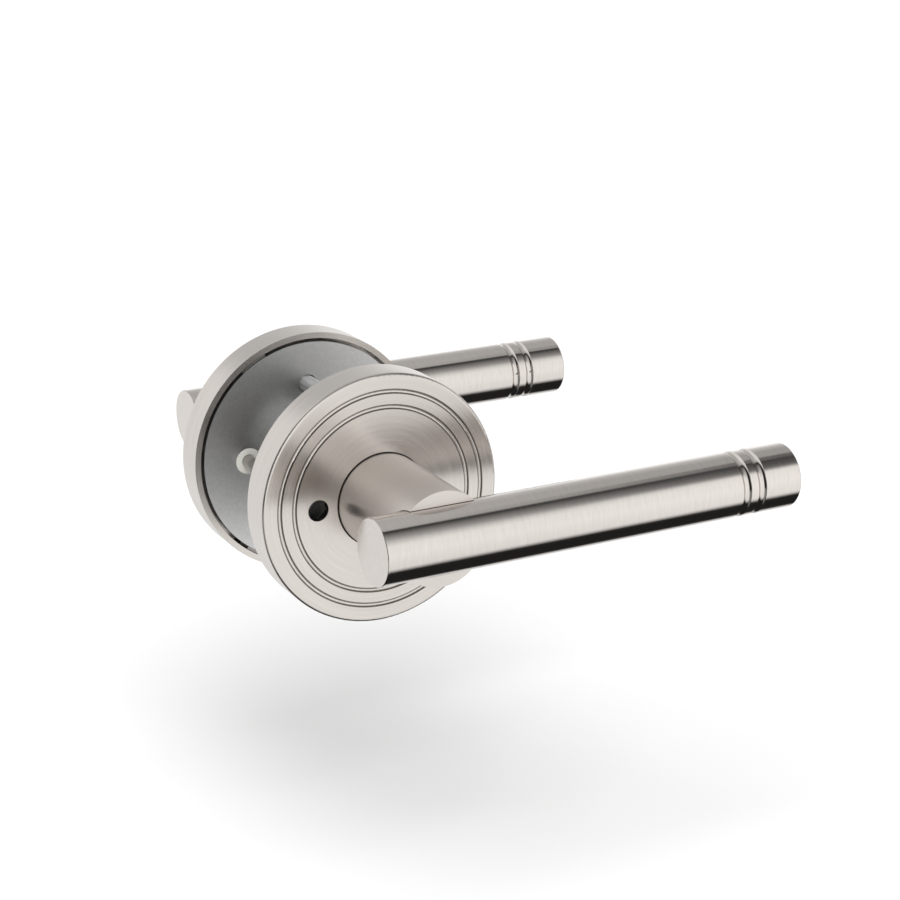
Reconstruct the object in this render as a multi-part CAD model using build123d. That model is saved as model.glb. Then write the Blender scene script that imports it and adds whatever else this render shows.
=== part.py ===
from build123d import *
import os

# Privacy lever set for an interior door, as it stands on the door: an outside and an inside
# lever trim on one square spindle, and the push pin that works the latch's lock from the inside.
# The door and its tubular latch aren't part of the set. They fill the space between the trims.
#
# Row frame, in millimetres: the origin is on the spindle axis, midway through the door.
# +X runs from the spindle towards the lever tips.
# +Y runs through the door from the outside face to the inside face, and +Z is up.
#
# Each trim is modelled in its own trim frame: x as above, y up, and z away from the door,
# with z = 0 on the door's face. The outside trim is placed there, and the inside trim is
# its mirror image in the door's middle plane.

# --- driving dimensions ---------------------------------------------------------------
DOOR = 35.0             # door thickness
LEVER_TURN = 55.0       # degrees from level to the lower stop
PIN_OFFSET = 18.0       # privacy pin axis to spindle axis
SCREW_OFFSET = 19.05    # through screws above and below the spindle

RUN = 0.05              # radial clearance of a running fit
EASE = 0.1              # clearance between faces that pass or face each other
END_CHAMFER = 0.5

# --- trim -----------------------------------------------------------------------------
ROSE_RADIUS = 33.35
ROSE_HEIGHT = 9.5
ROSE_WALL = 1.6
ROSE_FACE = 2.3
ROSE_EDGE = 0.8
ROSE_GROOVES = (28.65, 24.6)   # mean radii of the two turned grooves
ROSE_GROOVE_WIDTH = 1.1
ROSE_GROOVE_DEPTH = 0.45
RELEASE_HOLE_RADIUS = 2.83

NECK_RADIUS = 12.43
NECK_GAP = 0.3          # shadow gap between neck and rose
LEVER_AXIS = 42.15      # lever axis above the door face
BAR_RADIUS = 8.58
BAR_HEEL = -19.0        # blunt end, behind the neck
BAR_TIP = 101.8
BAR_EDGE = 0.35
BAR_GROOVES = (84.75, 89.5)
BAR_GROOVE_WIDTH = 2.5
BAR_GROOVE_DEPTH = 0.8
SADDLE_GAP = 0.12       # seam between the neck's saddle and the bar

SPINDLE_SIDE = 7.9
SOCKET_SIDE = 8.1
SPINDLE_REACH = 17.0    # above the door face
SOCKET_FLOOR = 22.0
GRUB_HEIGHT = 14.0
GRUB_RADIUS = 2.5
GRUB_LENGTH = 5.4
GRUB_KEY = 2.5          # across the flats
BOLT_RADIUS = 2.0       # M4 screw that holds the bar in the neck
BOLT_HEAD_RADIUS = 3.5
BOLT_HEAD_HEIGHT = 4.0
BOLT_KEY = 3.0          # across the flats
BOLT_BITE = 1.0         # end of the screw above the bar's axis

PLATE_RADIUS = 30.8
PLATE_THICKNESS = 2.2
BUSH_RADIUS = 10.4
BUSH_FLANGE_RADIUS = 13.0
BUSH_FLANGE = 1.0
BUSH_TAIL = 0.4         # sleeve behind the plate
JOURNAL_RADIUS = 9.0
JOURNAL_END = -10.2
KEY_RADIUS = 8.5        # double-D end that carries the cam
KEY_FLAT = 7.3
WASHER_THICKNESS = 0.6
WASHER_RADIUS = 11.8
CLIP_RADIUS = 11.0
CLIP_OPENING = 20.0     # half the retaining ring's gap, in degrees
CLIP_GROOVE_RADIUS = 8.25
CLIP_THICKNESS = 1.0
CAGE_RADIUS = 15.5
CAGE_WALL = 0.9
CAGE_END = -8.0
CAM_TOP = CAGE_END - EASE
CAM_END = CAM_TOP - 1.8
CAM_RADIUS = 14.0
CAM_TAB_RADII = (13.9, 12.5)
CAM_TAB_TOP = -5.6
CAGE_TAB_INNER = 12.4
CAGE_TAB_END = -4.6
LUG_ANGLE = LEVER_TURN / 2      # the cam's stop lug at rest: half the turn above level
LUG_HALF = 7.0
STOP_HALF = 7.0
STOP_GAP = 0.6
TAB_HALF = 5.0
SPRING_WIRE = 1.5
SPRING_RADIUS = 11.0
SPRING_TOP = -3.5
SPRING_END = -7.2
SPRING_TURNS = 2.25
SPRING_LEG = 13.6
CAM_TAB_ANGLE = 150.0
LEG_SWEEP = 3.6         # degrees between a spring leg's axis and the tab face that it rests on
ROSE_CLIP_ANGLES = (0.0, 120.0, 240.0)
ROSE_CLIP_HALF = 7.0
ROSE_CLIP_SHEET = 0.6
ROSE_CLIP_FOOT = 25.5   # radius where a clip's foot starts
ROSE_CLIP_SPAN = (0.5, 5.5)
ROSE_CLIP_RIVET = 28.0
RIVET_RADIUS = 1.2
RIVET_HEAD_RADIUS = 2.0
RIVET_HEAD = 0.6

# --- screws and posts through the door ------------------------------------------------
POST_RADIUS = 3.5
POST_END = 6.0          # row y where the posts stop
SCREW_RADIUS = 2.4
SCREW_HOLE_RADIUS = 2.7
SCREW_HEAD_RADIUS = 4.5
SCREW_HEAD_HEIGHT = 2.4
POST_STAKE_RADIUS = 3.0
POST_BORE_END = -7.0    # row y where the thread in the posts stops
SCREW_TIP = -5.0        # row y where the screws stop
SCREW_HEAD_EDGE = 1.2
CROSS_REACH = 2.4
CROSS_WIDTH = 0.9
CROSS_DEPTH = 1.4

# --- privacy pin ----------------------------------------------------------------------
PIN_RADIUS = 1.8
PIN_TIP = -(DOOR / 2 + 2.0)     # row y of its outside end
COLLAR_RADIUS = 2.4
COLLAR = (2.0, 5.0)             # row y of the collar that works the latch's lock, pin out
KNOB_RADIUS = 3.8
KNOB_HEIGHT = 8.2               # ball centre above the rose's face
KNOB_SOCKET = 0.5       # the pin's end, behind the ball's centre
PIN_GUIDE_RADIUS = 3.6
PIN_GUIDE_FLANGE = 4.6
PIN_GUIDE_HEIGHT = 5.0
GRIP_WIRE = 0.5         # radius of the rubber ring's section
GRIP_HEIGHT = 3.95      # its middle above the door face
PIN_CLEARANCE_RADIUS = 2.2      # hole for the pin in the outside plate

# --- worked out from the dimensions above -----------------------------------------------
ROSE_BORE = NECK_RADIUS + NECK_GAP
NECK_FOOT = PLATE_THICKNESS + BUSH_FLANGE + EASE
KNOB_Y = DOOR / 2 + ROSE_HEIGHT + KNOB_HEIGHT

TRIM = Plane(origin=(0, -DOOR / 2, 0), x_dir=(1, 0, 0), z_dir=(0, -1, 0)).location
UP = (Align.CENTER, Align.CENTER, Align.MIN)
ALONG_X = Rot(0, 90, 0)
ALONG_Y = Rot(-90, 0, 0)


# --- shapes used again and again ---------------------------------------------------------
def disc(radius, low, high):
    """Cylinder on the z axis between two heights."""
    return Pos(0, 0, low) * Cylinder(radius, high - low, align=UP)


def ring(outer, inner, low, high):
    return disc(outer, low, high) - disc(inner, low - 1, high + 1)


def square_bar(side, low, high):
    return Pos(0, 0, low) * Box(side, side, high - low, align=UP)


def ring_sector(outer, inner, low, high, middle, half):
    """Piece of a ring, middle and half width in degrees."""
    section = Pos((outer + inner) / 2, (low + high) / 2) * Rectangle(outer - inner, high - low)
    return Rot(0, 0, middle - half) * revolve(Plane.XZ * section, Axis.Z, 2 * half)


def row_disc(radius, x, z, low, high):
    """Cylinder along +Y at (x, z), between two row y values."""
    return Pos(x, 0, z) * ALONG_Y * disc(radius, low, high)


def groove_cutter(width, depth):
    """Torus tube radius, and how far its centre stands off the surface, for a round groove."""
    tube = ((width / 2) ** 2 + depth ** 2) / (2 * depth)
    return tube, tube - depth


def coil(radius, wire, length, turns):
    """Round wire wound about +Z, from angle 0 at z = 0 upwards."""
    line = Helix(pitch=length / turns, height=length, radius=radius)
    return sweep(Plane(origin=line @ 0, z_dir=line % 0) * Circle(wire / 2), path=line, is_frenet=True)


def leg(start, end, wire):
    """Straight wire with a ball at its start, where it meets the coil."""
    way = Vector(*end) - Vector(*start)
    wire_end = Plane(origin=start, z_dir=way) * Circle(wire / 2)
    return extrude(wire_end, way.length) + Pos(*start) * Sphere(wire / 2)


def hex_socket(across, depth):
    """Cutter for a hexagon key, open at z = 0 and going down."""
    return Pos(0, 0, -depth) * extrude(RegularPolygon(across / 2, 6, major_radius=False), depth)


def cross_socket(reach, width, depth):
    """Cutter for a cross driver, open at z = 0 and going down."""
    blades = Box(2 * reach, width, depth) + Box(width, 2 * reach, depth)
    return Pos(0, 0, -depth / 2) * blades


# --- trim parts, in the trim frame ---------------------------------------------------------
def rose():
    """Turned cover: a shallow cup with two round grooves, the neck bore and the pin hole."""
    cup = disc(ROSE_RADIUS, 0, ROSE_HEIGHT)
    cup = fillet(cup.edges().group_by(Axis.Z)[-1], ROSE_EDGE)
    cup -= disc(ROSE_RADIUS - ROSE_WALL, -1, ROSE_HEIGHT - ROSE_FACE)
    cup -= disc(ROSE_BORE, -1, ROSE_HEIGHT + 1)
    cup -= Pos(-PIN_OFFSET, 0, 0) * disc(RELEASE_HOLE_RADIUS, -1, ROSE_HEIGHT + 1)
    tube, stand = groove_cutter(ROSE_GROOVE_WIDTH, ROSE_GROOVE_DEPTH)
    for radius in ROSE_GROOVES:
        cup -= Pos(0, 0, ROSE_HEIGHT + stand) * Torus(radius, tube)
    return cup


def neck():
    """Shank from the bearing to the lever axis: saddle, spindle socket, journal and keyed end."""
    body = disc(NECK_RADIUS, NECK_FOOT, LEVER_AXIS)
    body += disc(JOURNAL_RADIUS, CAGE_END, NECK_FOOT)
    clip_top = -BUSH_TAIL - EASE - WASHER_THICKNESS
    body -= ring(JOURNAL_RADIUS + 1, CLIP_GROOVE_RADIUS, clip_top - CLIP_THICKNESS - EASE, clip_top)
    body += disc(KEY_RADIUS, JOURNAL_END, CAGE_END) & Pos(0, 0, CAGE_END) * Box(
        4 * KEY_RADIUS, 2 * KEY_FLAT, 4 * KEY_RADIUS
    )
    body -= Pos(0, 0, LEVER_AXIS) * ALONG_X * Cylinder(BAR_RADIUS + SADDLE_GAP, 4 * NECK_RADIUS)
    body -= square_bar(SOCKET_SIDE, JOURNAL_END - 1, SOCKET_FLOOR)
    body -= disc(BOLT_RADIUS + RUN, SOCKET_FLOOR, LEVER_AXIS)
    body -= Pos(0, 0, GRUB_HEIGHT) * Rot(90, 0, 0) * disc(GRUB_RADIUS + RUN, 0, 2 * NECK_RADIUS)
    return body


def lever_bar():
    """Straight round bar across the neck, with two round grooves near its tip."""
    length = BAR_TIP - BAR_HEEL
    bar = Cylinder(BAR_RADIUS, length)
    bar = fillet(bar.edges().filter_by(GeomType.CIRCLE), BAR_EDGE)
    bar = Pos((BAR_TIP + BAR_HEEL) / 2, 0, LEVER_AXIS) * ALONG_X * bar
    tube, stand = groove_cutter(BAR_GROOVE_WIDTH, BAR_GROOVE_DEPTH)
    for x in BAR_GROOVES:
        bar -= Pos(x, 0, LEVER_AXIS) * ALONG_X * Torus(BAR_RADIUS + stand, tube)
    return bar - disc(BOLT_RADIUS + RUN, LEVER_AXIS - 2 * BAR_RADIUS, LEVER_AXIS + 2 * BOLT_BITE)


def neck_bolt():
    """Cap screw in the bottom of the spindle socket, up into the bar."""
    head = disc(BOLT_HEAD_RADIUS, SOCKET_FLOOR - BOLT_HEAD_HEIGHT, SOCKET_FLOOR)
    key = Rot(180, 0, 0) * hex_socket(BOLT_KEY, BOLT_HEAD_HEIGHT / 2)
    head -= Pos(0, 0, SOCKET_FLOOR - BOLT_HEAD_HEIGHT) * key
    return head + disc(BOLT_RADIUS, SOCKET_FLOOR, LEVER_AXIS + BOLT_BITE)


def grub_screw():
    """Set screw under the neck that clamps the spindle."""
    screw = disc(GRUB_RADIUS, 0, GRUB_LENGTH)
    screw -= Pos(0, 0, GRUB_LENGTH) * hex_socket(GRUB_KEY, GRUB_LENGTH / 2)
    return Pos(0, -SPINDLE_SIDE / 2 - EASE, GRUB_HEIGHT) * Rot(90, 0, 0) * screw


def mounting_plate(screw_hole, pin_hole):
    """Steel disc on the door's face under the rose. It carries the bearing and the cage."""
    plate = disc(PLATE_RADIUS, 0, PLATE_THICKNESS) - disc(BUSH_RADIUS, -1, PLATE_THICKNESS + 1)
    plate -= Pos(-PIN_OFFSET, 0, 0) * disc(pin_hole, -1, PLATE_THICKNESS + 1)
    for side in (1, -1):
        plate -= Pos(0, side * SCREW_OFFSET, 0) * disc(screw_hole, -1, PLATE_THICKNESS + 1)
    for angle in ROSE_CLIP_ANGLES:
        plate -= Rot(0, 0, angle) * Pos(ROSE_CLIP_RIVET, 0, 0) * disc(RIVET_RADIUS, -1, PLATE_THICKNESS + 1)
    return plate


def bearing_bush():
    """Flanged nylon bush, pressed into the plate, that the journal turns in."""
    body = disc(BUSH_RADIUS, -BUSH_TAIL, PLATE_THICKNESS)
    body += disc(BUSH_FLANGE_RADIUS, PLATE_THICKNESS, PLATE_THICKNESS + BUSH_FLANGE)
    return body - disc(JOURNAL_RADIUS + RUN, -BUSH_TAIL - 1, PLATE_THICKNESS + BUSH_FLANGE + 1)


def thrust_washer():
    top = -BUSH_TAIL - EASE
    return ring(WASHER_RADIUS, JOURNAL_RADIUS + RUN, top - WASHER_THICKNESS, top)


def retaining_ring():
    """Open ring in the journal's groove that keeps the neck in the plate."""
    top = -BUSH_TAIL - EASE - WASHER_THICKNESS - EASE / 2
    body = ring(CLIP_RADIUS, CLIP_GROOVE_RADIUS + RUN, top - CLIP_THICKNESS, top)
    opening = ring_sector(CLIP_RADIUS + 1, CLIP_GROOVE_RADIUS - 1, top - 2, top + 1, 90, CLIP_OPENING)
    return body - opening


def spring_cage():
    """Cup behind the plate, with the spring's fixed tab and the two stops for the cam."""
    inner = CAGE_RADIUS - CAGE_WALL
    cage = ring(CAGE_RADIUS, inner, CAGE_END, 0)
    fixed_tab = spring_angles()[0] - LEG_SWEEP - TAB_HALF
    cage += ring_sector(inner + EASE, CAGE_TAB_INNER, CAGE_TAB_END, 0, fixed_tab, TAB_HALF)
    reach = LUG_HALF + STOP_GAP + STOP_HALF
    for middle in (LUG_ANGLE + reach, LUG_ANGLE - LEVER_TURN - reach):
        cage += ring_sector(CAGE_RADIUS, inner, CAM_END, CAGE_END, middle, STOP_HALF)
    return cage


def drive_cam():
    """Cam on the neck's keyed end: a stop lug outside and a tab that loads the spring."""
    cam = disc(CAM_RADIUS, CAM_END, CAM_TOP)
    cam += ring_sector(CAGE_RADIUS, CAM_RADIUS - 1, CAM_END, CAM_TOP, LUG_ANGLE, LUG_HALF)
    cam += ring_sector(*CAM_TAB_RADII, CAM_TOP, CAM_TAB_TOP, CAM_TAB_ANGLE, TAB_HALF)
    key = disc(KEY_RADIUS + RUN, CAM_END - 1, CAM_TOP + 1)
    key &= Pos(0, 0, CAM_TOP) * Box(4 * KEY_RADIUS, 2 * (KEY_FLAT + RUN), 4 * KEY_RADIUS)
    return cam - key


def spring_angles():
    """Angles of the fixed leg, by the plate, and the moving leg, by the cam."""
    moving = CAM_TAB_ANGLE - TAB_HALF - LEG_SWEEP
    return moving + 360 * SPRING_TURNS, moving


def return_spring():
    """Torsion spring about the journal. Turning the lever winds it tighter."""
    fixed, moving = spring_angles()
    body = Pos(0, 0, SPRING_END) * Rot(0, 0, moving) * coil(
        SPRING_RADIUS, SPRING_WIRE, SPRING_TOP - SPRING_END, SPRING_TURNS
    )
    for angle, height in ((fixed, SPRING_TOP), (moving, SPRING_END)):
        turn = Rot(0, 0, angle)
        body += turn * leg((SPRING_RADIUS, 0, height), (SPRING_LEG, 0, height), SPRING_WIRE)
    return body


def rose_clips():
    """Three spring clips on the plate's rim that grip the rose's wall."""
    outer = ROSE_RADIUS - ROSE_WALL - EASE
    foot_top = PLATE_THICKNESS + ROSE_CLIP_SHEET
    foot = ring_sector(outer, ROSE_CLIP_FOOT, PLATE_THICKNESS, foot_top, 0, ROSE_CLIP_HALF)
    wall = ring_sector(outer, PLATE_RADIUS + EASE, *ROSE_CLIP_SPAN, 0, ROSE_CLIP_HALF)
    clip = foot + wall - Pos(ROSE_CLIP_RIVET, 0, 0) * disc(RIVET_RADIUS, 0, 2 * PLATE_THICKNESS)
    return Compound([Rot(0, 0, angle) * clip for angle in ROSE_CLIP_ANGLES])


def clip_rivets():
    foot_top = PLATE_THICKNESS + ROSE_CLIP_SHEET
    rivet = disc(RIVET_RADIUS, 0, foot_top)
    rivet += disc(RIVET_HEAD_RADIUS, foot_top, foot_top + RIVET_HEAD)
    spot = Pos(ROSE_CLIP_RIVET, 0, 0)
    return Compound([Rot(0, 0, angle) * spot * rivet for angle in ROSE_CLIP_ANGLES])


# --- parts through the door, in the row frame ------------------------------------------------
def spindle():
    half = DOOR / 2 + SPINDLE_REACH
    bar = Box(SPINDLE_SIDE, 2 * half, SPINDLE_SIDE)
    ends = bar.edges().group_by(Axis.Y)
    return chamfer(ends[0] + ends[-1], END_CHAMFER)


def threaded_posts():
    """Two posts staked into the outside plate that the through screws pull on."""
    post = row_disc(POST_RADIUS, 0, 0, -DOOR / 2, POST_END)
    post += row_disc(POST_STAKE_RADIUS, 0, 0, -DOOR / 2 - PLATE_THICKNESS, -DOOR / 2)
    post -= row_disc(SCREW_RADIUS + RUN, 0, 0, POST_BORE_END, POST_END + 1)
    return Compound([Pos(0, 0, side * SCREW_OFFSET) * post for side in (1, -1)])


def mounting_screws():
    """Two through screws, heads on the inside plate under the rose."""
    seat = DOOR / 2 + PLATE_THICKNESS
    head = disc(SCREW_HEAD_RADIUS, 0, SCREW_HEAD_HEIGHT)
    head = fillet(head.edges().group_by(Axis.Z)[-1], SCREW_HEAD_EDGE)
    head -= Pos(0, 0, SCREW_HEAD_HEIGHT) * cross_socket(CROSS_REACH, CROSS_WIDTH, CROSS_DEPTH)
    screw = Pos(0, seat, 0) * ALONG_Y * head + row_disc(SCREW_RADIUS, 0, 0, SCREW_TIP, seat)
    return Compound([Pos(0, 0, side * SCREW_OFFSET) * screw for side in (1, -1)])


def privacy_pin():
    """Rod through the door, with the collar that enters the latch slide."""
    rod = row_disc(PIN_RADIUS, 0, 0, PIN_TIP, KNOB_Y - KNOB_SOCKET)
    rod = chamfer(rod.edges().group_by(Axis.Y)[0], END_CHAMFER)
    rod += row_disc(COLLAR_RADIUS, 0, 0, *COLLAR)
    return Pos(-PIN_OFFSET, 0, 0) * rod


def privacy_knob():
    """Ball on the pin's inside end."""
    ball = Sphere(KNOB_RADIUS) - disc(PIN_RADIUS, -2 * KNOB_RADIUS, -KNOB_SOCKET)
    return Pos(-PIN_OFFSET, KNOB_Y, 0) * ALONG_Y * ball


def privacy_pin_guide():
    """Nylon guide in the inside plate, with a seat for the grip ring."""
    body = disc(PIN_GUIDE_RADIUS, 0, PIN_GUIDE_HEIGHT)
    body += disc(PIN_GUIDE_FLANGE, PLATE_THICKNESS, PLATE_THICKNESS + BUSH_FLANGE)
    seat = GRIP_HEIGHT - GRIP_WIRE
    body -= disc(PIN_RADIUS + RUN, -1, PIN_GUIDE_HEIGHT + 1)
    body -= disc(PIN_RADIUS + RUN + 2 * GRIP_WIRE, seat, PIN_GUIDE_HEIGHT + 1)
    return Pos(-PIN_OFFSET, DOOR / 2, 0) * ALONG_Y * body


def pin_grip_ring():
    """Rubber ring in the guide that holds the pin where it is put."""
    torus = Torus(PIN_RADIUS + RUN + GRIP_WIRE, GRIP_WIRE)
    return Pos(-PIN_OFFSET, DOOR / 2 + GRIP_HEIGHT, 0) * ALONG_Y * torus


# --- the set --------------------------------------------------------------------------------
def parts():
    both = {
        "rose": rose(),
        "neck": neck(),
        "lever_bar": lever_bar(),
        "neck_bolt": neck_bolt(),
        "grub_screw": grub_screw(),
        "bearing_bush": bearing_bush(),
        "thrust_washer": thrust_washer(),
        "retaining_ring": retaining_ring(),
        "spring_cage": spring_cage(),
        "drive_cam": drive_cam(),
        "return_spring": return_spring(),
        "rose_clips": rose_clips(),
        "clip_rivets": clip_rivets(),
    }
    made = {}
    for name, shape in both.items():
        made["outside_" + name] = TRIM * shape
        made["inside_" + name] = mirror(TRIM * shape, about=Plane.XZ)
    made["outside_mounting_plate"] = TRIM * mounting_plate(POST_STAKE_RADIUS, PIN_CLEARANCE_RADIUS)
    inside_plate = mounting_plate(SCREW_HOLE_RADIUS, PIN_GUIDE_RADIUS)
    made["inside_mounting_plate"] = mirror(TRIM * inside_plate, about=Plane.XZ)
    made["spindle"] = spindle()
    made["threaded_posts"] = threaded_posts()
    made["mounting_screws"] = mounting_screws()
    made["privacy_pin"] = privacy_pin()
    made["privacy_knob"] = privacy_knob()
    made["privacy_pin_guide"] = privacy_pin_guide()
    made["pin_grip_ring"] = pin_grip_ring()
    return made


os.makedirs("parts", exist_ok=True)
for node, shape in parts().items():
    export_step(shape, f"parts/{node}.step")
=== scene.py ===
import math

import bmesh
import bpy
from mathutils import Matrix, Vector


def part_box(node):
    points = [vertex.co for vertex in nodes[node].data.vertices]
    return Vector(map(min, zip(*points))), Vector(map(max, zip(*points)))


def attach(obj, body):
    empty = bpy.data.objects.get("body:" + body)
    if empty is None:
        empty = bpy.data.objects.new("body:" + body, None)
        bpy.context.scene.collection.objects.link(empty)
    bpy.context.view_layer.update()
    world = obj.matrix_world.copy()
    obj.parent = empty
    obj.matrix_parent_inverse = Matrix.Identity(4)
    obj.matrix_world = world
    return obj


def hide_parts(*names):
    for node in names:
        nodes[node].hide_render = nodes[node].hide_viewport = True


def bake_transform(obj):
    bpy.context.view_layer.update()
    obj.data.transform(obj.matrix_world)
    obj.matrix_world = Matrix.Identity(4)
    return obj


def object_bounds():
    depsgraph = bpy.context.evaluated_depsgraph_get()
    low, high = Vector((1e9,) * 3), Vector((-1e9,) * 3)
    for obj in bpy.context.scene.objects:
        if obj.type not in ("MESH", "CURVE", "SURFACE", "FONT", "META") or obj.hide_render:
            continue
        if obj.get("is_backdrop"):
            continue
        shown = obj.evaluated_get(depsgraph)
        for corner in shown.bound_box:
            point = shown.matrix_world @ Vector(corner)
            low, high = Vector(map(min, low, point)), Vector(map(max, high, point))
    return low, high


# Privacy lever set: satin nickel trims outside (-Y) and inside (+Y), with the works between them.

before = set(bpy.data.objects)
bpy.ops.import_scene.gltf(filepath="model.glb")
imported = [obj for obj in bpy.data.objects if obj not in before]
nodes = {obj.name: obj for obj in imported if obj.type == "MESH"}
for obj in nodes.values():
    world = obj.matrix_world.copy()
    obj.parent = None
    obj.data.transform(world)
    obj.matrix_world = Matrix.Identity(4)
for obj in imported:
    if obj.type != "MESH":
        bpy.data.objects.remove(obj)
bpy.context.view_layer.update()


MM = 0.001
X_AXIS, Y_AXIS = 0, 1
SIDES = {"outside": -1, "inside": 1}


# --- places, from the frame ---------------------------------------------------------------
def middle(node):
    low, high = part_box(node)
    return (low + high) / 2


def half_size(node):
    low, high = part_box(node)
    return (high - low) / 2


ROSE_RADIUS = half_size("outside_rose").z
ROSE_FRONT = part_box("outside_rose")[0].y
BAR_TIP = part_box("outside_lever_bar")[1].x
FLOOR = -BAR_TIP              # clear of the lever tips at any turn
BAR_GROOVES = (BAR_TIP - 17.05 * MM, BAR_TIP - 12.3 * MM)           # x of their middles
BAR_GROOVE_HALF = 1.25 * MM
ROSE_GROOVES = (ROSE_RADIUS - 4.7 * MM, ROSE_RADIUS - 8.75 * MM)    # radii of their middles
ROSE_GROOVE_HALF = 0.55 * MM
SHADE_LINE_HALF = 0.17 * MM         # half the width of the painted shade line on a rose groove's wall
RELEASE_HOLE_RADIUS = 2.83 * MM

# --- colours of the bare metals, and of the painted shade in the rose grooves and the release hole ---
NICKEL_LIGHT = (0.69, 0.65, 0.615)
NICKEL_DARK = (0.61, 0.57, 0.535)
# painted shade: the dark line on each wall of a rose groove, standing for the groove's shade
PAINTED_GROOVE_SHADE = (0.22, 0.2, 0.18)
GROOVE_POLISH = 0.45    # a bright groove's roughness against the brushed metal's
PAINTED_HOLE_SHADE = (0.05, 0.045, 0.04)    # painted shade on the release hole's wall: near-black, standing for the shade inside the hole
FINE_LINE = 0.22 * MM
BROAD_LINE = 0.9 * MM
FINE_SHARE = 0.55       # of the fine lines in the brushed look; the broad ones have the rest


# --- node trees ---------------------------------------------------------------------------
class Tree:
    """A material's node tree, with short calls for the nodes that the finishes share."""

    def __init__(self, name):
        self.material = bpy.data.materials.new(name)
        self.material.use_nodes = True
        self.nodes = self.material.node_tree.nodes
        self.links = self.material.node_tree.links
        self.shader = self.nodes["Principled BSDF"]

    def put(self, socket, value):
        if isinstance(value, bpy.types.NodeSocket):
            self.links.new(value, socket)
        else:
            socket.default_value = value

    def add(self, kind, inputs=(), **settings):
        node = self.nodes.new("ShaderNode" + kind)
        for key, value in settings.items():
            setattr(node, key, value)
        for index, value in enumerate(inputs):
            if value is not None:
                self.put(node.inputs[index], value)
        return node

    def math(self, operation, *values):
        return self.add("Math", values, operation=operation).outputs[0]

    def place(self):
        """The object's own coordinates, which are the frame's, whole and as x, y and z."""
        place = self.add("TexCoord").outputs["Object"]
        return place, self.add("SeparateXYZ", [place]).outputs

    def noise(self, vector, scale, detail=2.0, roughness=0.5):
        node = self.add("TexNoise")
        self.put(node.inputs["Vector"], vector)
        self.put(node.inputs["Scale"], scale)
        self.put(node.inputs["Detail"], detail)
        self.put(node.inputs["Roughness"], roughness)
        return node.outputs["Fac"]

    def spread(self, value, low, high, start=0.3, end=0.7):
        """Maps a noise's start..end to low..high."""
        node = self.add("MapRange")
        for name, number in (("From Min", start), ("From Max", end), ("To Min", low), ("To Max", high)):
            self.put(node.inputs[name], number)
        self.put(node.inputs["Value"], value)
        return node.outputs["Result"]

    def mix(self, factor, first, second):
        node = self.add("Mix", data_type="RGBA")
        self.put(node.inputs[0], factor)
        self.put(node.inputs[6], (*first, 1) if isinstance(first, tuple) else first)
        self.put(node.inputs[7], (*second, 1) if isinstance(second, tuple) else second)
        return node.outputs[2]

    def bump(self, height, strength, distance):
        node = self.add("Bump")
        self.put(node.inputs["Height"], height)
        self.put(node.inputs["Strength"], strength)
        self.put(node.inputs["Distance"], distance)
        return node.outputs[0]

    def finish(self, **sockets):
        for name, value in sockets.items():
            socket = self.shader.inputs[name.replace("_", " ")]
            self.put(socket, (*value, 1) if isinstance(value, tuple) else value)
        return self.material


def grain(tree, radius, along, angle, line, arc):
    """Noise in brush lines: line is their width in metres, arc their length in radians."""
    vector = tree.add("CombineXYZ")
    tree.put(vector.inputs[0], tree.math("DIVIDE", tree.math("ADD", radius, along), line))
    tree.put(vector.inputs[1], tree.math("DIVIDE", tree.math("SINE", angle), arc))
    tree.put(vector.inputs[2], tree.math("DIVIDE", tree.math("COSINE", angle), arc))
    return tree.noise(vector.outputs[0], 1.0, 3.0, 0.6)


def band(tree, value, centre, half):
    """1 where a value lies within half of a centre, with soft sides, and 0 elsewhere."""
    away = tree.math("ABSOLUTE", tree.math("SUBTRACT", value, centre))
    node = tree.add("MapRange", interpolation_type="SMOOTHSTEP")
    for name, number in (("From Min", half), ("From Max", half * 0.8), ("To Min", 0.0), ("To Max", 1.0)):
        tree.put(node.inputs[name], number)
    tree.put(node.inputs["Value"], away)
    return node.outputs["Result"]


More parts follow.
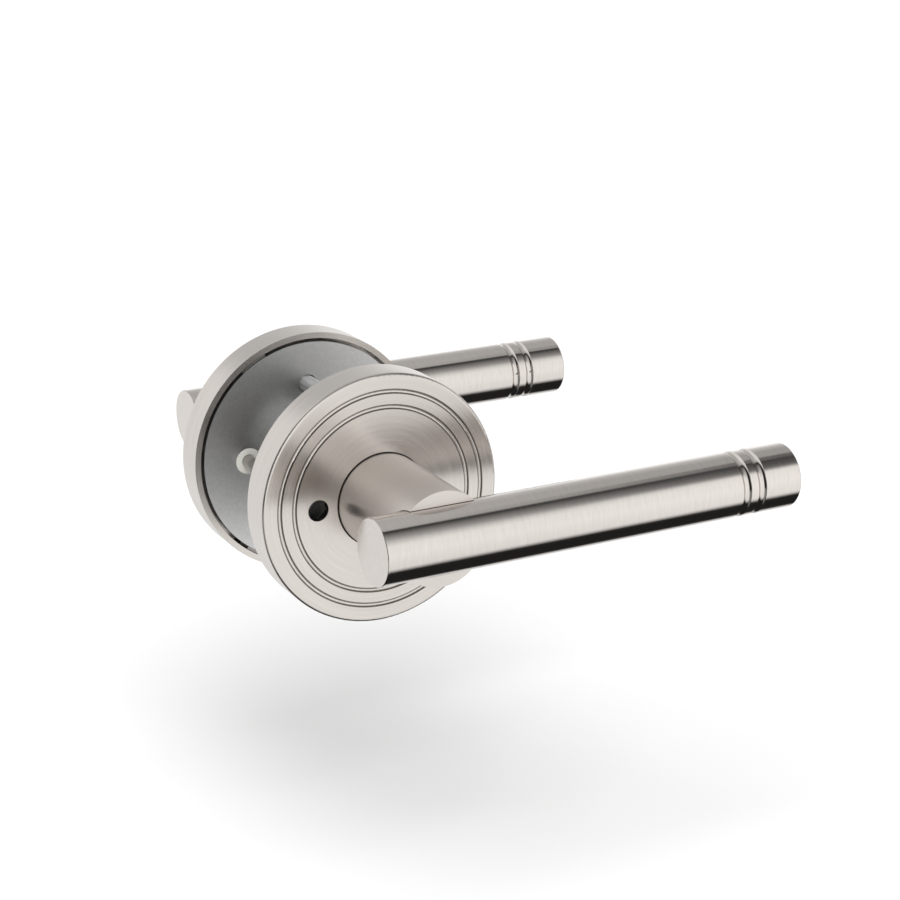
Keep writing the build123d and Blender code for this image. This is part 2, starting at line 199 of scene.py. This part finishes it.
def brushed_nickel(
    name, axis, centre, roughness, anisotropy, depth, grooves=(), groove_half=1.0, hole=None
):
    """Satin nickel brushed round an axis: fine lines, rarer broad ones and a faint cloud.

    On a bar, grooves are places along x, where the metal is bright and the brush doesn't reach.
    On a disc they are radii, and painted shade darkens their two walls. depth is the lines' contrast.
    """
    tree = Tree(name)
    place, parts = tree.place()
    across = [tree.math("SUBTRACT", parts[i], centre[i]) for i in range(3) if i != axis]
    square = [tree.math("MULTIPLY", value, value) for value in across]
    radius = tree.math("SQRT", tree.math("ADD", *square))
    angle = tree.math("ARCTAN2", across[1], across[0])
    along = parts[axis]
    fine = grain(tree, radius, along, angle, FINE_LINE, 0.5)
    broad = grain(tree, radius, along, angle, BROAD_LINE, 0.8)
    cloud = tree.noise(place, 45, 3.0)
    shares = ((fine, FINE_SHARE), (broad, 1 - FINE_SHARE))
    lines = tree.math("ADD", *[tree.math("MULTIPLY", value, share) for value, share in shares])
    brushed = unshaded = 1.0
    for groove in grooves:
        if axis == X_AXIS:
            inside = band(tree, along, groove, groove_half)
            brushed = tree.math("MULTIPLY", brushed, tree.math("SUBTRACT", 1.0, inside))
        else:
            # painted shade: a dark line on each wall of a rose groove
            for wall in (groove - groove_half, groove + groove_half):
                wall_shade = band(tree, radius, wall, SHADE_LINE_HALF)
                unshaded = tree.math("MULTIPLY", unshaded, tree.math("SUBTRACT", 1.0, wall_shade))
    shade = tree.spread(lines, 0.5 - depth / 2, 0.5 + depth / 2, 0.35, 0.65)
    colour = tree.mix(shade, NICKEL_DARK, NICKEL_LIGHT)
    rough = tree.math("ADD", tree.spread(lines, roughness - 0.03 * depth, roughness + 0.03 * depth),
                      tree.spread(cloud, -0.02, 0.02))
    height = lines
    if grooves:
        # paints the groove walls' shade into the colour
        colour = tree.mix(unshaded, PAINTED_GROOVE_SHADE, colour)
        rough = tree.math("MULTIPLY", rough, tree.spread(brushed, GROOVE_POLISH, 1.0, 0.0, 1.0))
        height = tree.math("MULTIPLY", lines, brushed)
    if hole:
        # painted shade: the release hole's wall made near-black, for the shade inside the hole
        colour = tree.mix(hole_wall(tree, parts, *hole), colour, PAINTED_HOLE_SHADE)
    tangent = tree.add("Tangent", direction_type="RADIAL", axis="XYZ"[axis]).outputs[0]
    return tree.finish(
        Base_Color=colour, Metallic=1.0, Roughness=rough, Anisotropic=anisotropy,
        Anisotropic_Rotation=0.25, Tangent=tangent, Normal=tree.bump(height, 0.06 * depth, 0.02 * MM),
    )


def hole_wall(tree, parts, x, radius, front):
    """1 on the wall of a hole along Y, just inside a face, and 0 elsewhere: where the hole's painted shade
    goes.
    """
    side = tree.math("SUBTRACT", parts[0], x)
    squares = [tree.math("MULTIPLY", value, value) for value in (side, parts[2])]
    near = tree.math("LESS_THAN", tree.math("SQRT", tree.math("ADD", *squares)), radius + 0.02 * MM)
    deep = tree.math("LESS_THAN", tree.math("ABSOLUTE", parts[1]), front - 0.15 * MM)
    return tree.math("MULTIPLY", near, deep)


def plain_nickel(name, roughness, tint):
    """Polished metal with faint hazing and hairlines."""
    tree = Tree(name)
    place = tree.place()[0]
    haze = tree.noise(place, 900, 4.0)
    hair = tree.noise(place, 6000, 2.0)
    rough = tree.spread(haze, roughness * 0.7, roughness * 1.4)
    colour = tree.mix(haze, tuple(v * 0.94 for v in tint), tint)
    return tree.finish(
        Base_Color=colour, Metallic=1.0, Roughness=rough, Normal=tree.bump(hair, 0.03, 0.01 * MM)
    )


def zinc_plated():
    """Bright zinc plate over sheet steel: a fine spangle and rolling marks."""
    tree = Tree("zinc_plated")
    place = tree.place()[0]
    spangle = tree.add("TexVoronoi")
    tree.put(spangle.inputs["Vector"], place)
    tree.put(spangle.inputs["Scale"], 1400)
    grey = tree.add("RGBToBW", [spangle.outputs["Color"]]).outputs[0]
    fine = tree.noise(place, 2600, 3.0)
    colour = tree.mix(grey, (0.6, 0.6, 0.6), (0.68, 0.68, 0.675))
    return tree.finish(
        Base_Color=colour, Metallic=1.0, Roughness=tree.spread(fine, 0.34, 0.44),
        Normal=tree.bump(fine, 0.08, 0.02 * MM),
    )


def spring_steel():
    tree = Tree("spring_steel")
    place = tree.place()[0]
    drawn = tree.noise(place, 2200, 4.0)
    oil = tree.noise(place, 300, 3.0)
    colour = tree.mix(oil, (0.2, 0.19, 0.18), (0.4, 0.38, 0.36))
    return tree.finish(
        Base_Color=colour, Metallic=1.0, Roughness=tree.spread(oil, 0.22, 0.42),
        Normal=tree.bump(drawn, 0.08, 0.02 * MM),
    )


def black_oxide():
    tree = Tree("black_oxide")
    place = tree.place()[0]
    wear = tree.noise(place, 1200, 5.0)
    colour = tree.mix(tree.spread(wear, 0, 1, 0.45, 0.7), (0.02, 0.02, 0.022), (0.09, 0.09, 0.095))
    return tree.finish(
        Base_Color=colour, Metallic=0.9, Roughness=tree.spread(wear, 0.35, 0.55),
        Normal=tree.bump(wear, 0.1, 0.02 * MM),
    )


def moulded(name, low, high, roughness, scale):
    """Moulded plastic or rubber with a fine mould texture."""
    tree = Tree(name)
    place = tree.place()[0]
    texture = tree.noise(place, scale, 4.0)
    cloud = tree.noise(place, 180, 2.0)
    return tree.finish(
        Base_Color=tree.mix(cloud, low, high), Roughness=tree.spread(texture, roughness, roughness + 0.12),
        Normal=tree.bump(texture, 0.15, 0.03 * MM),
    )


# --- finishes on the CAD nodes ---------------------------------------------------------------
GOES = {
    "neck_bolt": "black_oxide", "grub_screw": "black_oxide", "bearing_bush": "nylon",
    "thrust_washer": "zinc", "retaining_ring": "spring", "spring_cage": "zinc", "drive_cam": "zinc",
    "return_spring": "spring", "rose_clips": "spring", "clip_rivets": "zinc", "mounting_plate": "zinc",
    "spindle": "zinc", "threaded_posts": "zinc", "mounting_screws": "zinc", "privacy_pin": "polished",
    "privacy_knob": "polished", "privacy_pin_guide": "nylon", "pin_grip_ring": "rubber",
}


def dress(node, material):
    obj = nodes[node]
    obj.data.materials.clear()
    obj.data.materials.append(material)


def dress_all():
    """Gives every CAD node its finish, and returns the shared finishes by name."""
    finishes = {
        "black_oxide": black_oxide(),
        "nylon": moulded("natural_nylon", (0.74, 0.73, 0.67), (0.84, 0.83, 0.77), 0.4, 1500),
        "rubber": moulded("black_rubber", (0.015, 0.015, 0.015), (0.03, 0.03, 0.03), 0.6, 2500),
        "zinc": zinc_plated(),
        "spring": spring_steel(),
        "polished": plain_nickel("polished_nickel", 0.2, (0.42, 0.4, 0.38)),
    }
    hole = (middle("privacy_pin").x, RELEASE_HOLE_RADIUS, abs(ROSE_FRONT))
    rose_metal = brushed_nickel(
        "rose_nickel", Y_AXIS, (0, 0, 0), roughness=0.24, anisotropy=0.7, depth=0.8,
        grooves=ROSE_GROOVES, groove_half=ROSE_GROOVE_HALF, hole=hole,
    )
    neck_metal = brushed_nickel(
        "neck_nickel", Y_AXIS, (0, 0, 0), roughness=0.3, anisotropy=0.5, depth=0.12
    )
    for side in SIDES:
        centre = middle(side + "_lever_bar")
        bar_metal = brushed_nickel(
            side + "_bar_nickel", X_AXIS, tuple(centre), roughness=0.14, anisotropy=0.6, depth=0.6,
            grooves=BAR_GROOVES, groove_half=BAR_GROOVE_HALF,
        )
        dress(side + "_rose", rose_metal)
        dress(side + "_neck", neck_metal)
        dress(side + "_lever_bar", bar_metal)
    for name in nodes:
        short = name.removeprefix("outside_").removeprefix("inside_")
        if short in GOES:
            dress(name, finishes[GOES[short]])
    return finishes


# --- screws with real threads ------------------------------------------------------------------
ROUND = 64              # segments round a screw
STEPS = 10              # rings in one turn of thread
SHARP_ANGLE = math.radians(35)
ROOT_HALF = 0.4375      # from a ridge's middle to the root, in pitches
FLANK = 0.25            # width of a ridge's flank, in pitches
RUNOUT_TURNS = 1.5
EDGE_STEPS = 6          # segments in a pan head's rounded edge
HEAD_CHAMFER = 0.1 * MM

# Each thread's core radius, crest radius and pitch.
MOUNTING_THREAD = (1.95 * MM, 2.4 * MM, 0.8 * MM)
CAP_THREAD = (1.6 * MM, 2.0 * MM, 0.7 * MM)
SET_THREAD = (2.1 * MM, 2.5 * MM, 0.8 * MM)
PAN_RADIUS = 4.5 * MM
PAN_HEIGHT = 2.4 * MM
PAN_EDGE = 1.2 * MM
CROSS_REACH = 2.4 * MM
CROSS_WIDTH = 0.9 * MM
CROSS_DEPTH = 1.4 * MM
CAP_RADIUS = 3.5 * MM
CAP_HEIGHT = 4.0 * MM
CAP_SOCKET = (3.0 * MM, 2.0 * MM)     # across the flats, and depth
SET_SOCKET = (2.5 * MM, 2.7 * MM)


def new_piece(name, mesh, material, body):
    obj = bpy.data.objects.new(name, mesh)
    bpy.context.scene.collection.objects.link(obj)
    mesh.materials.append(material)
    for polygon in mesh.polygons:
        polygon.use_smooth = True
    mesh.set_sharp_from_angle(angle=SHARP_ANGLE)
    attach(obj, body)
    return obj


def rings_to_faces(bm, rings):
    """Closed skin over a row of vertex rings."""
    for first, second in zip(rings, rings[1:]):
        for i in range(len(first)):
            j = (i + 1) % len(first)
            bm.faces.new((first[i], first[j], second[j], second[i]))
    bm.faces.new(list(reversed(rings[0])))
    bm.faces.new(rings[-1])


def lathe(bm, profile):
    """Closed body of revolution about z, from (radius, height) points going up."""
    rings = []
    for radius, height in profile:
        angles = [2 * math.pi * i / ROUND for i in range(ROUND)]
        rings.append([bm.verts.new((radius * math.cos(a), radius * math.sin(a), height)) for a in angles])
    rings_to_faces(bm, rings)


def thread(bm, core, crest, pitch, low, high):
    """Closed threaded rod about z. The thread runs out to the core at the lower end."""
    count = round((high - low) / pitch * STEPS)
    rings = []
    for ring in range(count + 1):
        height = low + (high - low) * ring / count
        runout = min(1.0, (height - low) / (RUNOUT_TURNS * pitch))
        verts = []
        for i in range(ROUND):
            phase = (height / pitch - i / ROUND) % 1.0
            ridge = max(0.0, min(1.0, (ROOT_HALF - abs(phase - 0.5)) / FLANK))
            radius = core + (crest - core) * ridge * runout
            angle = 2 * math.pi * i / ROUND
            verts.append(bm.verts.new((radius * math.cos(angle), radius * math.sin(angle), height)))
        rings.append(verts)
    rings_to_faces(bm, rings)


def prism(outline, low, high):
    """Cutter from an outline in x and y, as a temporary object."""
    bm = bmesh.new()
    rings = [[bm.verts.new((x, y, z)) for x, y in outline] for z in (low, high)]
    rings_to_faces(bm, rings)
    mesh = bpy.data.meshes.new("cutter")
    bm.to_mesh(mesh)
    bm.free()
    obj = bpy.data.objects.new("cutter", mesh)
    bpy.context.scene.collection.objects.link(obj)
    return obj


def hexagon(across):
    reach = across / math.sqrt(3)
    return [(reach * math.cos(math.pi * i / 3), reach * math.sin(math.pi * i / 3)) for i in range(6)]


def cross(reach, width):
    """Outline of a cross recess."""
    half = width / 2
    quarter = [(reach, -half), (reach, half), (half, half)]
    turned = []
    for turn in range(4):
        cosine = round(math.cos(math.pi * turn / 2))
        sine = round(math.sin(math.pi * turn / 2))
        turned += [(cosine * x - sine * y, sine * x + cosine * y) for x, y in quarter]
    return turned


def cut_away(mesh, outline, low, high):
    """The mesh less a prism, as a new mesh."""
    work = bpy.data.objects.new("work", mesh)
    bpy.context.scene.collection.objects.link(work)
    cutter = prism(outline, low, high)
    modifier = work.modifiers.new("cut", "BOOLEAN")
    modifier.operation = "DIFFERENCE"
    modifier.solver = "EXACT"
    modifier.object = cutter
    bpy.context.view_layer.update()
    result = bpy.data.meshes.new_from_object(work.evaluated_get(bpy.context.evaluated_depsgraph_get()))
    bpy.data.objects.remove(work)
    bpy.data.objects.remove(cutter)
    return result


def screw_mesh(head, rod, socket):
    """Screw along z, tip down, with its head's top at z = 0.

    head is a profile, or empty for a set screw. rod is (core, crest, pitch, low, high), and
    socket is (outline, depth).
    """
    bm = bmesh.new()
    if head:
        lathe(bm, head)
    else:
        thread(bm, *rod)
    mesh = bpy.data.meshes.new("screw")
    bm.to_mesh(mesh)
    bm.free()
    outline, depth = socket
    mesh = cut_away(mesh, outline, -depth, depth)
    if head:
        bm = bmesh.new()
        bm.from_mesh(mesh)
        thread(bm, *rod)
        bm.to_mesh(mesh)
        bm.free()
    return mesh


def place_screw(name, mesh, top, way, material, body):
    """Stands a screw with its head's top at a point and its tip pointing along way."""
    turn = Vector((0, 0, -1)).rotation_difference(Vector(way)).to_matrix().to_4x4()
    mesh.transform(Matrix.Translation(top) @ turn)
    mesh.update()
    return new_piece(name, mesh, material, body)


def pan_head(radius, height, edge):
    """Profile of a pan head, from its seat up to its top at z = 0."""
    points = [(radius - HEAD_CHAMFER, -height), (radius, -height + HEAD_CHAMFER), (radius, -edge)]
    for step in range(1, EDGE_STEPS + 1):
        angle = math.pi / 2 * step / EDGE_STEPS
        points.append((radius - edge + edge * math.cos(angle), -edge + edge * math.sin(angle)))
    return points


def cap_head(radius, height):
    edge = 0.3 * MM
    return [(radius - edge / 2, -height), (radius, -height + edge / 2), (radius, -edge), (radius - edge, 0)]


def mounting_screws(material):
    low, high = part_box("mounting_screws")
    offset = high.z - PAN_RADIUS
    socket = (cross(CROSS_REACH, CROSS_WIDTH), CROSS_DEPTH)
    for name, z in (("mounting_screw_upper", offset), ("mounting_screw_lower", -offset)):
        rod = (*MOUNTING_THREAD, low.y - high.y, -PAN_HEIGHT)
        mesh = screw_mesh(pan_head(PAN_RADIUS, PAN_HEIGHT, PAN_EDGE), rod, socket)
        piece = place_screw(name, mesh, (0, high.y, z), (0, -1, 0), material, "fixed_trim")
        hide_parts("mounting_screws")


def neck_screws(material):
    """Each neck's cap screw along its axis, and the set screw below it."""
    for side, sign in SIDES.items():
        low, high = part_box(side + "_neck_bolt")
        near, far = (high.y, low.y) if sign < 0 else (low.y, high.y)
        rod = (*CAP_THREAD, -abs(far - near), -CAP_HEIGHT)
        across, depth = CAP_SOCKET
        mesh = screw_mesh(cap_head(CAP_RADIUS, CAP_HEIGHT), rod, (hexagon(across), depth))
        piece = place_screw(
            side + "_neck_cap_screw", mesh, (0, near, 0), (0, sign, 0), material, "levers_and_spindle",
        )
        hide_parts(side + "_neck_bolt")
        low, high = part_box(side + "_grub_screw")
        rod = (*SET_THREAD, low.z - high.z, 0)
        across, depth = SET_SOCKET
        mesh = screw_mesh([], rod, (hexagon(across), depth))
        piece = place_screw(
            side + "_set_screw", mesh, (0, middle(side + "_grub_screw").y, low.z), (0, 0, 1), material,
            "levers_and_spindle",
        )
        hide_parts(side + "_grub_screw")


def winding_springs(material):
    """Copies of the return springs' coils with the spring finish, in place of the CAD nodes; they are
    attached to no body and are not wound. On the real set, one leg of each coil stays with the trim while
    the other turns with the spindle's cam.
    """
    for side, sign in SIDES.items():
        node = side + "_return_spring"
        mesh = nodes[node].data.copy()
        mesh.transform(nodes[node].matrix_world)
        mesh.materials.clear()
        mesh.materials.append(material)
        coil = bpy.data.objects.new(side + "_winding_spring", mesh)
        bpy.context.scene.collection.objects.link(coil)
        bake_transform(coil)
        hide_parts(node)


# --- stage -------------------------------------------------------------------------------------
def stage_plane(name, side, material):
    """Square plane about the origin, kept out of the visual model."""
    mesh = bpy.data.meshes.new(name)
    half = side / 2
    corners = [(-half, -half, 0), (half, -half, 0), (half, half, 0), (-half, half, 0)]
    mesh.from_pydata(corners, [], [(0, 1, 2, 3)])
    mesh.materials.append(material)
    obj = bpy.data.objects.new(name, mesh)
    bpy.context.scene.collection.objects.link(obj)
    obj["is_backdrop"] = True
    return obj


def floor_material():
    """Pale floor that fades to the white of the backdrop, away from the set."""
    tree = Tree("pale_floor")
    parts = tree.place()[1]
    squares = [tree.math("MULTIPLY", value, value) for value in parts[:2]]
    away = tree.math("SQRT", tree.math("ADD", *squares))
    fade = tree.spread(away, 0.0, 1.0, *FLOOR_FADE)
    return tree.finish(
        Base_Color=tree.mix(fade, FLOOR_COLOUR, (0, 0, 0)), Roughness=0.9,
        Emission_Color=(1, 1, 1), Emission_Strength=fade,
    )


def aim(obj, place, target=(0, 0, 0)):
    """Puts a light or the camera at a place, looking at a target."""
    obj.location = place
    way = Vector(target) - Vector(place)
    obj.rotation_euler = way.to_track_quat("-Z", "Y").to_euler()


def direction(azimuth, elevation):
    """Unit vector from the set towards a viewer or a light; azimuth 0 is on the outside, -Y."""
    a, e = math.radians(azimuth), math.radians(elevation)
    return Vector((math.sin(a) * math.cos(e), -math.cos(a) * math.cos(e), math.sin(e)))


# Brightness round the set, by angle in degrees about its long axis: 0 is level on the outside,
# 90 straight up, 180 level on the inside and -90 straight down. The first row holds straight
# across from the set, and the second towards the lever tips.
ACROSS = (
    (-180, 1.15), (-150, 1.05), (-122, 0.70), (-114, 0.02), (-60, 0.02), (-46, 1.04), (0, 1.20),
    (30, 1.14), (58, 0.45), (78, 0.06), (83, 0.05), (87, 0.62), (130, 0.58), (155, 0.66), (172, 1.10),
    (180, 1.15),
)
TOWARDS_TIPS = (
    (-180, 1.20), (-150, 1.10), (-122, 0.60), (-114, 0.02), (-62, 0.02), (-48, 1.16), (0, 1.28),
    (42, 1.20), (54, 0.20), (62, 0.09), (98, 0.09), (104, 0.45), (130, 0.46), (155, 0.75), (172, 1.15),
    (180, 1.20),
)
STUDIO_PEAK = 1.3
TIP_TURN = (0.42, 0.62)       # x of a direction where the second row takes over
BOARD_EDGE = (-0.34, -0.12)   # x of a direction where the pale board on the inside ends
BOARD_FOOT = (-0.7, -0.45)    # z of a direction where that board starts
BOARD_DEPTH = (0.0, 0.2)      # y of a direction, either way, where the boards start
BOARD_LEVEL = 1.0
FLAG_EDGE = (-0.62, -0.48)    # x of a direction where the dark board on the outside ends
FLAG_FOOT = (-0.32, -0.18)    # z of a direction where that board's grey foot ends
FLAG_LEVEL = 0.03
FLAG_FOOT_LEVEL = 0.3
END_EDGE = (0.78, 0.92)       # x of a direction where the board beyond the tips takes over
END_LEVEL = 0.6
BACKDROP = (1.0, 1.0, 1.0)


def studio_world():
    """White backdrop for the eye, and for the metal a studio of soft boxes and dark flags."""
    scene_world = bpy.data.worlds.new("studio")
    scene_world.use_nodes = True
    bpy.context.scene.world = scene_world
    tree = scene_world.node_tree
    link = tree.links.new

    def add(kind, **settings):
        node = tree.nodes.new("ShaderNode" + kind)
        for key, value in settings.items():
            setattr(node, key, value)
        return node

    def step(value, low, high):
        """0 below low, 1 above high."""
        node = add("MapRange", interpolation_type="SMOOTHSTEP")
        node.inputs["From Min"].default_value = low
        node.inputs["From Max"].default_value = high
        link(value, node.inputs["Value"])
        return node.outputs["Result"]

    def mix(factor, first, second):
        node = add("Mix", data_type="RGBA")
        for socket, value in zip((node.inputs[0], node.inputs[6], node.inputs[7]), (factor, first, second)):
            if isinstance(value, bpy.types.NodeSocket):
                link(value, socket)
            else:
                socket.default_value = value
        return node.outputs[2]

    def grey(level):
        return (*[level / STUDIO_PEAK] * 3, 1)

    def ramp(turn, levels):
        node = add("ValToRGB")
        stops = node.color_ramp.elements
        stops.remove(stops[1])
        for index, (degrees, level) in enumerate(levels):
            place = (degrees + 180) / 360
            stop = stops[0] if index == 0 else stops.new(place)
            stop.position = place
            stop.color = grey(level)
        link(turn, node.inputs[0])
        return node.outputs[0]

    def on_the_left(edge, also):
        """1 for directions left of an edge where also is 1 too."""
        left = add("Math", operation="SUBTRACT")
        left.inputs[0].default_value = 1
        link(step(parts.outputs["X"], *edge), left.inputs[1])
        both = add("Math", operation="MULTIPLY")
        link(left.outputs[0], both.inputs[0])
        link(also, both.inputs[1])
        return both.outputs[0]

    parts = add("SeparateXYZ")
    link(add("TexCoord").outputs["Generated"], parts.inputs[0])
    outside = add("Math", operation="MULTIPLY")
    outside.inputs[1].default_value = -1
    link(parts.outputs["Y"], outside.inputs[0])
    angle = add("Math", operation="ARCTAN2")
    link(parts.outputs["Z"], angle.inputs[0])
    link(outside.outputs[0], angle.inputs[1])
    turn = step(angle.outputs[0], -math.pi, math.pi)
    turn.node.interpolation_type = "LINEAR"
    level = mix(step(parts.outputs["X"], *TIP_TURN), ramp(turn, ACROSS), ramp(turn, TOWARDS_TIPS))
    board = on_the_left(BOARD_EDGE, step(parts.outputs["Z"], *BOARD_FOOT))
    inside = on_the_left(BOARD_EDGE, step(parts.outputs["Y"], *BOARD_DEPTH))
    level = mix(inside, level, mix(board, level, grey(BOARD_LEVEL)))
    flag = mix(step(parts.outputs["Z"], *FLAG_FOOT), grey(FLAG_FOOT_LEVEL), grey(FLAG_LEVEL))
    level = mix(on_the_left(FLAG_EDGE, step(outside.outputs[0], *BOARD_DEPTH)), level, flag)
    level = mix(step(parts.outputs["X"], *END_EDGE), level, grey(END_LEVEL))
    around = add("Background")
    around.inputs["Strength"].default_value = STUDIO_PEAK
    link(level, around.inputs["Color"])
    backdrop = add("Background")
    backdrop.inputs["Color"].default_value = (*BACKDROP, 1)
    choice = add("MixShader")
    link(add("LightPath").outputs["Is Camera Ray"], choice.inputs[0])
    link(around.outputs[0], choice.inputs[1])
    link(backdrop.outputs[0], choice.inputs[2])
    link(choice.outputs[0], tree.nodes["World Output"].inputs["Surface"])


KEY_STRENGTH = 2.2
KEY_AZIMUTH = -30
KEY_ELEVATION = 62
KEY_SPREAD = math.radians(50)
FLOOR_SIDE = 6
FLOOR_COLOUR = (0.9, 0.9, 0.9)
FLOOR_FADE = (0.22, 0.75)    # metres from the set


def studio():
    floor = stage_plane("floor", FLOOR_SIDE, floor_material())
    floor.location.z = FLOOR
    floor.visible_glossy = False
    studio_world()
    sun = bpy.data.lights.new("key", "SUN")
    sun.energy = KEY_STRENGTH
    sun.angle = KEY_SPREAD
    key = bpy.data.objects.new("key", sun)
    bpy.context.scene.collection.objects.link(key)
    aim(key, direction(KEY_AZIMUTH, KEY_ELEVATION))
    key.visible_glossy = False
    bpy.context.scene.view_settings.view_transform = "Standard"


# --- camera --------------------------------------------------------------------------------------
CAMERA_AZIMUTH = -26.4
CAMERA_ELEVATION = 19.75
CAMERA_DISTANCE = 0.5475   # to the middle of the outside rose's face
LENS = 85.5


def camera():
    data = bpy.data.cameras.new("camera")
    data.lens = LENS
    obj = bpy.data.objects.new("camera", data)
    bpy.context.scene.collection.objects.link(obj)
    low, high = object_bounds()
    eye = Vector((0, ROSE_FRONT, 0)) + direction(CAMERA_AZIMUTH, CAMERA_ELEVATION) * CAMERA_DISTANCE
    aim(obj, eye, (Vector(low) + Vector(high)) / 2)
    bpy.context.scene.camera = obj


camera()
metals = dress_all()
mounting_screws(metals["zinc"])
neck_screws(metals["black_oxide"])
winding_springs(metals["spring"])
studio()
